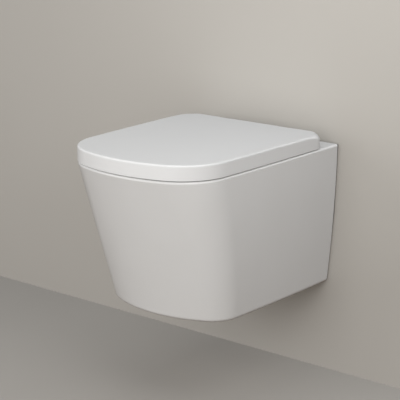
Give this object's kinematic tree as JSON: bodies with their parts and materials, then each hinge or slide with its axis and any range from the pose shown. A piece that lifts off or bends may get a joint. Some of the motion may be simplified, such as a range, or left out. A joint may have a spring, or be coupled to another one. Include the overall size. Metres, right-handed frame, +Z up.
{
  "type": "wall hung toilet",
  "caption": "Wall hung toilet with a tapering china pan, concealed wall fixings and a soft-closing seat and lid on quick-release hinges.",
  "frame": {"origin": "midway between the two wall studs, on the flat back of the china", "axes": "+Y into the wall, +Z up, +X to the right for someone who faces the wall"},
  "size_m": [0.36, 0.4929, 0.338],
  "materials": {
    "china": "smooth white glaze over vitreous china",
    "lid_plastic": "smooth white, hard moulded",
    "seat_plastic": "smooth white, hard moulded",
    "mat_foam": "closed-cell foam",
    "diverter_plastic": "moulded, light grey",
    "sleeve_plastic": "moulded, off-white",
    "fixing_steel": "zinc plated",
    "seal_rubber": "black, smooth",
    "base_steel": "stainless, satin",
    "nut_brass": "turned",
    "hinge_plastic": "white, moulded",
    "button_plastic": "light grey, moulded",
    "spring_steel": "bare wire",
    "damper_plastic": "black, moulded",
    "pin_steel": "turned stainless",
    "buffer_rubber": "soft, off-white"
  },
  "bodies": {
    "root": {"pan": "china", "wall_mat": "mat_foam", "flush_diverter": "diverter_plastic", "stud_sleeves": "sleeve_plastic", "stud_washers": "fixing_steel", "stud_nuts": "fixing_steel", "base_seals": "seal_rubber", "hinge_base_right": "base_steel", "hinge_base_left": "base_steel", "hinge_screws": "fixing_steel", "expansion_bushes": "seal_rubber", "expansion_nuts": "nut_brass", "hinge_block_right": "hinge_plastic", "hinge_block_left": "hinge_plastic", "button_springs": "spring_steel", "seat_damper": "damper_plastic", "lid_pivot_pin": "pin_steel", "lid_damper": "damper_plastic", "seat_pivot_pin": "pin_steel"},
    "seat": {"seat_ring": "seat_plastic", "seat_buffers": "buffer_rubber", "seat_drive_shaft": "pin_steel"},
    "lid": {"lid": "lid_plastic", "lid_buffers": "buffer_rubber", "lid_drive_shaft": "pin_steel"},
    "button_right": {"release_button_right": "button_plastic"},
    "button_left": {"release_button_left": "button_plastic"}
  },
  "joints": [
    {"name": "seat_hinge", "type": "hinge", "parent": "root", "child": "seat", "pos_m": [0, -0.0551, 0.0985], "axis": [-1, 0, 0], "range_deg": [0, 93]},
    {"name": "lid_hinge", "type": "hinge", "parent": "seat", "child": "lid", "pos_m": [0, -0.0551, 0.0985], "axis": [-1, 0, 0], "range_deg": [0, 93]},
    {"name": "button_right_slide", "type": "slide", "parent": "root", "child": "button_right", "axis": [0, 1, 0], "range_m": [0, 0.003], "stiffness_N_per_m": 800, "springref_m": -0.004, "deforming": ["button_springs"]},
    {"name": "button_left_slide", "type": "slide", "parent": "root", "child": "button_left", "axis": [0, 1, 0], "range_m": [0, 0.003], "stiffness_N_per_m": 800, "springref_m": -0.004, "deforming": ["button_springs"]}
  ]
}
